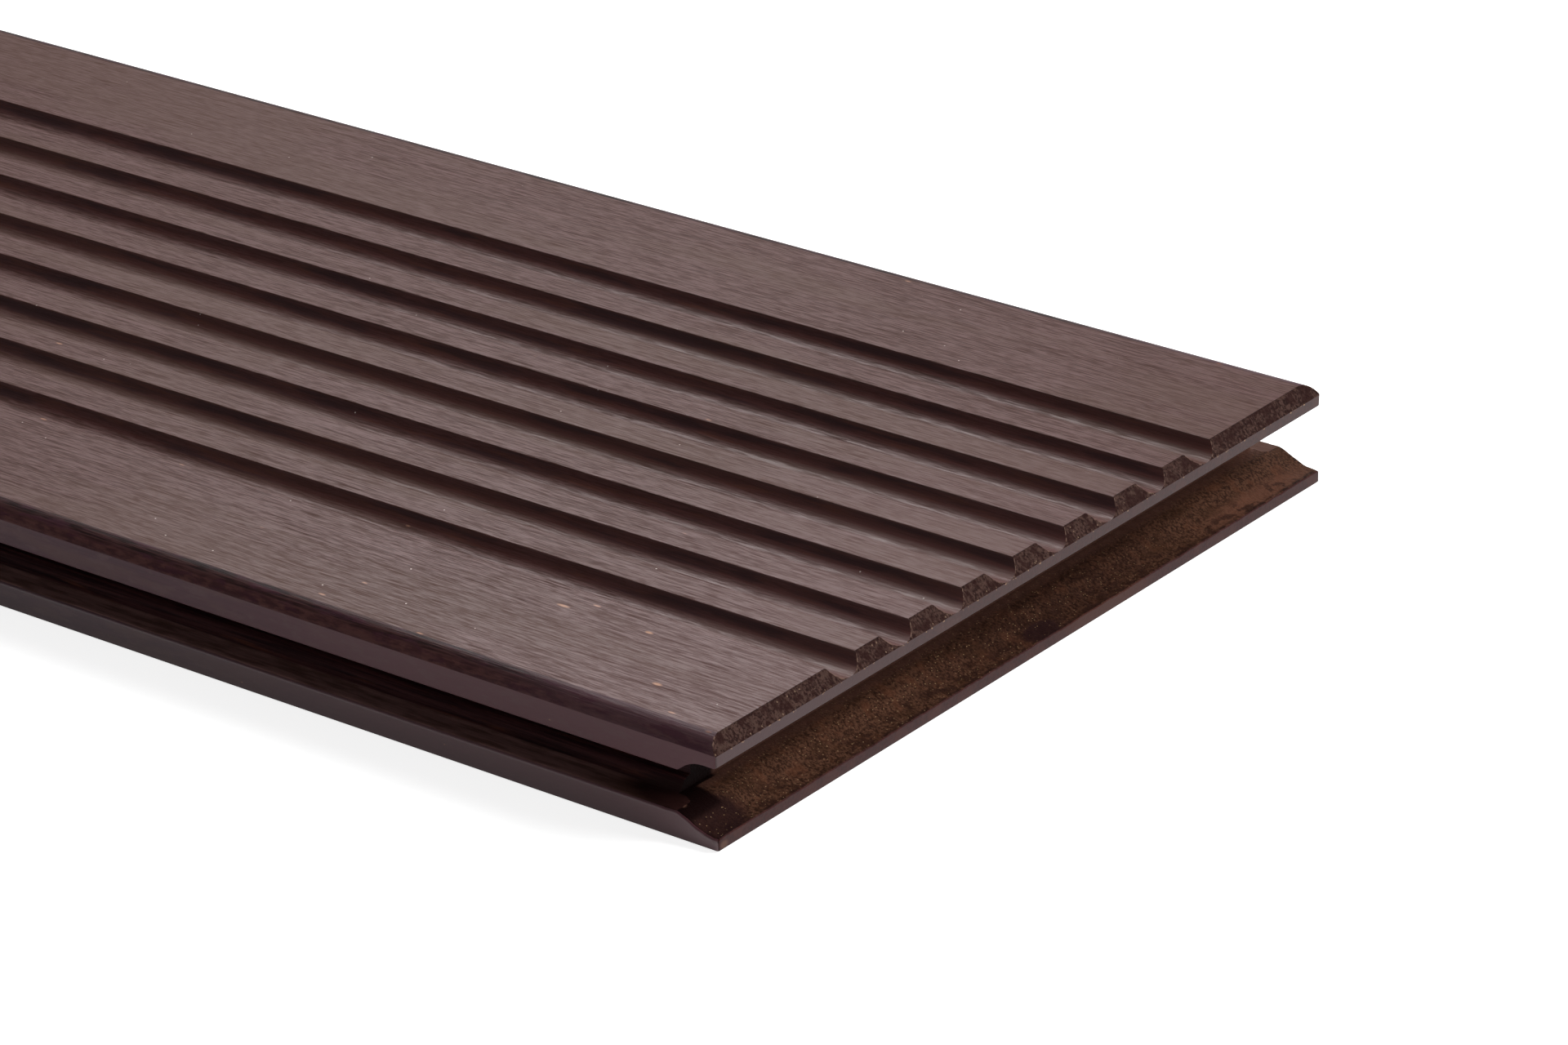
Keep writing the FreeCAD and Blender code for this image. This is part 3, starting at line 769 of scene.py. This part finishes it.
# %% Lips of the end
def lip_finish(name, gloss, dust_and_sheen):
    """Smooth cut end of a lip, with pinkish clouds, a share of dust and painted sheen towards the near
    corner, and nicks where it meets the bevel."""
    lip = Finish(name, 0.34, gloss)
    grain = lip.noise(20, 0.6, 15.0)
    clouds = lip.ramp(lip.noise(40, 5, 16.0, rough=0.5), 0.5, 0.65, 0.0, 0.6)
    pink_stretch = lip.spot((925.0, 21.0, 1.5), (6.0, 19.0, 3.0))
    scuffed_corner = lip.spot((925.0, -87.5, 0.9), (2.0, 1.4, 1.0))
    nicks = lip.ramp(lip.noise(0.8, 0.9, 31.0, detail=2.0, rough=0.5), 0.61, 0.68)
    lip.strands(grain, 0.35, 0.65, colour(0.025, 0.0058, 0.0056), colour(0.038, 0.0090, 0.0082))
    lip.layer("cloud", colour(0.046, 0.012, 0.009), clouds)
    # Dust and painted sheen: the lip is painted paler and greyer towards the near corner, by the given
    # share.
    lip.layer("dust_and_sheen", colour(0.048, 0.021, 0.022), lip.band("Y", -90.0, -74.0, 60.0), dust_and_sheen)
    lip.layer("pink stretch", colour(0.044, 0.012, 0.0075), pink_stretch)
    lip.layer("scuffed corner", colour(0.080, 0.036, 0.024), scuffed_corner)
    lip.layer("nick", colour(0.26, 0.15, 0.08), lip.band("Z", 17.3, 17.8, 0.12), nicks)
    return lip.done(grain, 0.02)


lip = lip_finish("end_lip", gloss=0.4, dust_and_sheen=0.9)
rubbed = lip_finish("rubbed_lip", gloss=0.22, dust_and_sheen=0.0)

# %% [markdown]
# ### End grain
#
# Where the ends are cut across the strands, they show as specks. The bevel is dark, with pale patches
# and flecks that get fewer towards the far side. The groove is browner and rougher, with golden
# flecks. Its floor is dull in the middle and ruddy towards the far corner, and its edge on the lower
# lip is torn dark. Its deep part, in the upper lip's shade, is painted lighter as painted light, and
# its near corner, where the clip groove comes through, is painted nearly black as painted shade.

# %% Bevelled end grain
bevel = Finish("end_bevel", 0.65, 0.12)
grain = bevel.noise(0.7, 0.5, 17.0, rough=0.65)
blots = bevel.ramp(bevel.noise(5, 2.2, 18.0), 0.46, 0.58, 0.0, 0.8)
pale = bevel.ramp(bevel.noise(1.5, 1.1, 37.0, rough=0.65), 0.50, 0.66, 0.0, 0.75)
flecks = bevel.specks(0.7, 0.55, 0.06, 0.36, 2.0)
bevel.strands(grain, 0.40, 0.62, colour(0.014, 0.0052, 0.0046), colour(0.060, 0.032, 0.026))
bevel.layer("dark blot", colour(0.018, 0.0058, 0.0050), blots)
bevel.layer("pale patch", colour(0.060, 0.034, 0.027), pale, bevel.band("Y", -90.0, 0.0, 110.0))
bevel.layer("fleck", colour(0.17, 0.11, 0.075), flecks, bevel.band("Y", -90.0, 0.0, 60.0))
bevel.layer("worn edge", WORN, bevel.wear())
bevel.done(grain, 0.1)

# %% End groove: masks
STAINS = (((920.0, -88.5, 3.0), (9.0, 12.5, 4.5)), ((923.0, 4.5, 2.6), (3.0, 5.5, 1.6)))
# Painted shade in recesses at the near corner: reach across, gap from the end and blur, in mm.
SHADE_RECESSES = ((-81.0, 6.5, 1.5), (-76.0, 11.4, 0.4))
# Painted light in the groove's deep part is full from this far in from the end, in mm.
PAINTED_LIGHT_DEPTH = 11.6

groove = Finish("end_groove", 0.62, 0.12)
grain = groove.noise(0.6, 0.5, 19.0, rough=0.65)
blots = groove.ramp(groove.noise(5, 4, 20.0), 0.5, 0.68, 0.0, 0.6)
clouds = groove.ramp(groove.noise(4, 9, 41.0, detail=2.0, rough=0.5), 0.52, 0.68, 0.0, 0.6)
ruddy = groove.spot((923.5, 72.0, 2.6), (4.5, 24.0, 3.5))
dull = groove.spot((917.0, 14.0, 4.0), (13.0, 50.0, 10.0))
uneven = groove.ramp(groove.noise(2.2, 3.5, 59.0), 0.38, 0.6, 0.55, 1.0)
dull_tone = groove.blend(groove.ramp(grain, 0.36, 0.64), colour(0.012, 0.0046, 0.0033),
                         colour(0.030, 0.0125, 0.0080))
painted_light_deep = groove.band("X", PAINTED_LIGHT_DEPTH - HALF_LENGTH, HALF_LENGTH - PAINTED_LIGHT_DEPTH, 3.0)
rim = groove.band("X", HALF_LENGTH - 0.45, HALF_LENGTH, 0.7)
torn = groove.ramp(groove.noise(1.4, 1.8, 61.0), 0.35, 0.6, 0.1, 1.0)
mouth = groove.band("X", HALF_LENGTH - 2.0, HALF_LENGTH, 4.5)
ragged = groove.ramp(groove.noise(2.4, 3.4, 67.0, rough=0.65), 0.50, 0.60, 0.0, 0.75)
flecks = groove.specks(0.42, 0.42, 0.15, 0.34, 4.0)
near_half = groove.band("Y", -90.0, -20.0, 110.0)
print(f"{len(STAINS)} stains, {len(SHADE_RECESSES)} painted shade recesses")

# %% End groove: layers
groove.strands(grain, 0.38, 0.62, colour(0.022, 0.0092, 0.0057), colour(0.077, 0.035, 0.0213))
groove.layer("orange blot", colour(0.082, 0.031, 0.017), blots)
groove.layer("dark cloud", colour(0.030, 0.013, 0.007), clouds)
groove.layer("ruddy stretch", colour(0.105, 0.044, 0.028), ruddy, 0.7)
groove.layer("dull stretch", dull_tone, dull, 0.9, uneven)
# Painted light: the floor's deep part, in the upper lip's shade, is painted lighter.
groove.layer("painted light in deep part", colour(0.092, 0.042, 0.031), painted_light_deep, 0.85)
groove.layer("torn rim", colour(0.020, 0.008, 0.006), rim, torn)
groove.layer("ragged mouth", colour(0.019, 0.0078, 0.0058), mouth, ragged)
for place, size in STAINS:
    groove.layer("stain", colour(0.015, 0.006, 0.0062), groove.spot(place, size, 0.7), 0.85)
groove.layer("golden fleck", colour(0.23, 0.145, 0.08), flecks, near_half)
# Painted shade: the recesses at the near corner, beyond where the clip groove comes through, are painted
# nearly black.
for reach, gap, blur in SHADE_RECESSES:
    beside = groove.band("Y", -90.0, reach, 1.2)
    behind = groove.band("X", 0.0, HALF_LENGTH - gap, blur)
    groove.layer("painted shade in recess", colour(0.006, 0.002, 0.002), beside, behind)
groove.layer("chip", colour(0.17, 0.082, 0.058), groove.spot((915.6, -86.8, 5.1), (1.2, 1.0, 0.8)))
groove.done(grain, 0.16)

# %% Underside
under = Finish("underside", 0.5, 0.4)
fine = under.noise(60, 0.7, 23.0)
under.strands(fine, 0.35, 0.65, colour(0.058, 0.019, 0.017), colour(0.088, 0.034, 0.029))
under.done(fine, 0.08)
made = {item.material.name: item.material
        for item in (brushed, arris, planed, polished, clip, lip, rubbed, bevel, groove, under)}
for name in FINISHES:
    board_mesh.materials.append(made[name])
print("finishes on the board:", ", ".join(made))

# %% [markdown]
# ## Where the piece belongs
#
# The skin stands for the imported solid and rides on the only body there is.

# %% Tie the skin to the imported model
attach(board, "root")
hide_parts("board")
print("decking_board stands for the packed board")

# %% [markdown]
# ## Floor, light and camera
#
# The board lies on a white floor that runs far out, so that there is no horizon to see. The floor
# glows for the camera, which keeps it white, and a little in mirrors, and the board's shadow stays.
#
# A large soft key lamp stands far out behind the shown end, high up. It lights, but isn't mirrored.
# A small dim sheen lamp stands behind the board and shows in its gloss. The world is white to the
# camera. In gloss it is a studio's walls, with a darker ceiling and a darker front above the floor's
# level: the satin top mirrors the walls and turns grey, and edges that tilt towards the camera
# mirror the dark front and stay dark. For all else the world is a low even fill.

# %% White floor
FLOOR_REACH = 60.0
FLOOR_SINK = 0.0002
FLOOR_WHITE = 0.72
FLOOR_GLOW = (("Is Camera Ray", 0.8), ("Is Glossy Ray", 0.26))

corners = np.array([[-1, -1], [1, -1], [1, 1], [-1, 1]]) * FLOOR_REACH
floor_mesh = bpy.data.meshes.new("floor")
floor_mesh.from_pydata([(x, y, -FLOOR_SINK) for x, y in corners], [], [(0, 1, 2, 3)])
floor = bpy.data.objects.new("floor", floor_mesh)
bpy.context.scene.collection.objects.link(floor)
floor_finish = bpy.data.materials.new("white_floor")
floor_finish.use_nodes = True
tree = floor_finish.node_tree
tree.nodes.remove(tree.nodes["Principled BSDF"])
matt = add_node(tree, "ShaderNodeBsdfDiffuse", {"Color": colour(FLOOR_WHITE, FLOOR_WHITE, FLOOR_WHITE)})
path = add_node(tree, "ShaderNodeLightPath", {})
lifted = 0.0
for ray, strength in FLOOR_GLOW:
    inputs = {0: path.outputs[ray], 1: strength, 2: lifted}
    lifted = add_node(tree, "ShaderNodeMath", inputs, operation="MULTIPLY_ADD").outputs[0]
glow = add_node(tree, "ShaderNodeEmission", {"Strength": lifted})
both = add_node(tree, "ShaderNodeAddShader", {0: matt.outputs[0], 1: glow.outputs[0]})
tree.links.new(both.outputs[0], tree.nodes["Material Output"].inputs["Surface"])
floor_mesh.materials.append(floor_finish)
print(f"floor: {2 * FLOOR_REACH:.0f} m square")

# %% Studio world
WALL_LEVEL, CEILING_LEVEL, FILL_LEVEL = 0.40, 0.12, 0.17
FRONT_SHARE, LOW_SHARE = 0.2, 0.9

world = bpy.data.worlds.new("studio")
bpy.context.scene.world = world
world.use_nodes = True
tree = world.node_tree
direction = add_node(tree, "ShaderNodeTexCoord", {}).outputs["Generated"]
parts = add_node(tree, "ShaderNodeSeparateXYZ", {0: direction})


def fade(axis, low, high, bottom, top):
    """A smooth change of brightness along one axis of the sky."""
    inputs = {"Value": parts.outputs[axis], "From Min": low, "From Max": high, "To Min": bottom,
              "To Max": top}
    node = add_node(tree, "ShaderNodeMapRange", inputs, interpolation_type="SMOOTHSTEP")
    return node.outputs["Result"]


def sky_maths(operation, first, second):
    """One step of arithmetic in the sky."""
    return add_node(tree, "ShaderNodeMath", {0: first, 1: second}, operation=operation).outputs[0]


wall_to_ceiling = fade("Z", 0.6, 0.9, WALL_LEVEL, CEILING_LEVEL)
front_to_back = fade("Y", -0.4, 0.3, FRONT_SHARE, 1.0)
low_to_high = fade("Z", 0.08, 0.34, LOW_SHARE, FRONT_SHARE)
mirrored = sky_maths("MULTIPLY", wall_to_ceiling, sky_maths("MAXIMUM", front_to_back, low_to_high))
path = add_node(tree, "ShaderNodeLightPath", {})
straight = sky_maths("MAXIMUM", path.outputs["Is Camera Ray"], path.outputs["Is Transmission Ray"])
inputs = {0: path.outputs["Is Glossy Ray"], 2: FILL_LEVEL, 3: mirrored}
unseen = add_node(tree, "ShaderNodeMix", inputs).outputs[0]
level = add_node(tree, "ShaderNodeMix", {0: straight, 2: unseen, 3: 1.0}).outputs[0]
background = tree.nodes["Background"]
background.inputs["Color"].default_value = colour(1, 1, 1)
tree.links.new(level, background.inputs["Strength"])
print(f"world: walls {WALL_LEVEL}, ceiling {CEILING_LEVEL}, fill {FILL_LEVEL}")

# %% Soft lamps
KEY_PLACE, KEY_AIM, KEY_SIZE, KEY_WATTS = (3.9, 3.1, 3.14), (0.6, 0.0, 0.0), 3.0, 435
SHEEN_PLACE, SHEEN_AIM, SHEEN_SIZE, SHEEN_WATTS = (0.38, 0.5, 0.6), (0.88, -0.05, 0.02), 0.3, 1.15


def soft_lamp(name, place, aim, size, watts, mirrored):
    """A square area lamp at a place, turned to face a point. The camera doesn't see it."""
    data = bpy.data.lights.new(name, "AREA")
    data.shape, data.size, data.energy = "SQUARE", size, watts
    lamp = bpy.data.objects.new(name, data)
    lamp.location = place
    lamp.rotation_euler = (Vector(aim) - Vector(place)).to_track_quat("-Z", "Y").to_euler()
    lamp.visible_camera = False
    lamp.visible_glossy = mirrored
    bpy.context.scene.collection.objects.link(lamp)
    print(f"{name} lamp: {size} m wide, {watts} W")


soft_lamp("key", KEY_PLACE, KEY_AIM, KEY_SIZE, KEY_WATTS, mirrored=False)
soft_lamp("sheen", SHEEN_PLACE, SHEEN_AIM, SHEEN_SIZE, SHEEN_WATTS, mirrored=True)

# %% [markdown]
# ## The camera
#
# The camera's place comes from straight edges of the board that were fitted in the photograph. A
# long lens, from a little over a metre off, looks down at 25 degrees at the near corner, and leans by
# a degree and three quarters. Its turn is told by the direction back to it, azimuth and elevation.

# %% Camera
SENSOR_WIDTH = 36.0
FOCAL_PIXELS = 7815.29
PICTURE_WIDTH = 1920
CAMERA_PLACE = (1.5152, -0.8069, 0.4910)
AZIMUTH, ELEVATION, LEAN = -51.3397, 24.9076, -1.7279
NEAREST, FARTHEST = 0.01, 200.0

camera_data = bpy.data.cameras.new("camera")
camera_data.sensor_width = SENSOR_WIDTH
camera_data.sensor_fit = "HORIZONTAL"
camera_data.lens = SENSOR_WIDTH * FOCAL_PIXELS / PICTURE_WIDTH
camera_data.clip_start, camera_data.clip_end = NEAREST, FARTHEST
camera = bpy.data.objects.new("camera", camera_data)
bpy.context.scene.collection.objects.link(camera)
azimuth, elevation, lean = (math.radians(angle) for angle in (AZIMUTH, ELEVATION, LEAN))
backward = Vector((math.cos(elevation) * math.cos(azimuth), math.cos(elevation) * math.sin(azimuth),
                   math.sin(elevation)))
level_right = Vector((-math.sin(azimuth), math.cos(azimuth), 0))
level_up = backward.cross(level_right)
right = level_right * math.cos(lean) + level_up * math.sin(lean)
turned = Matrix((right, backward.cross(right), backward)).transposed().to_4x4()
camera.matrix_world = Matrix.Translation(CAMERA_PLACE) @ turned
bpy.context.scene.camera = camera
bpy.context.scene.view_settings.view_transform = "Standard"
print(f"lens {camera_data.lens:.1f} mm")
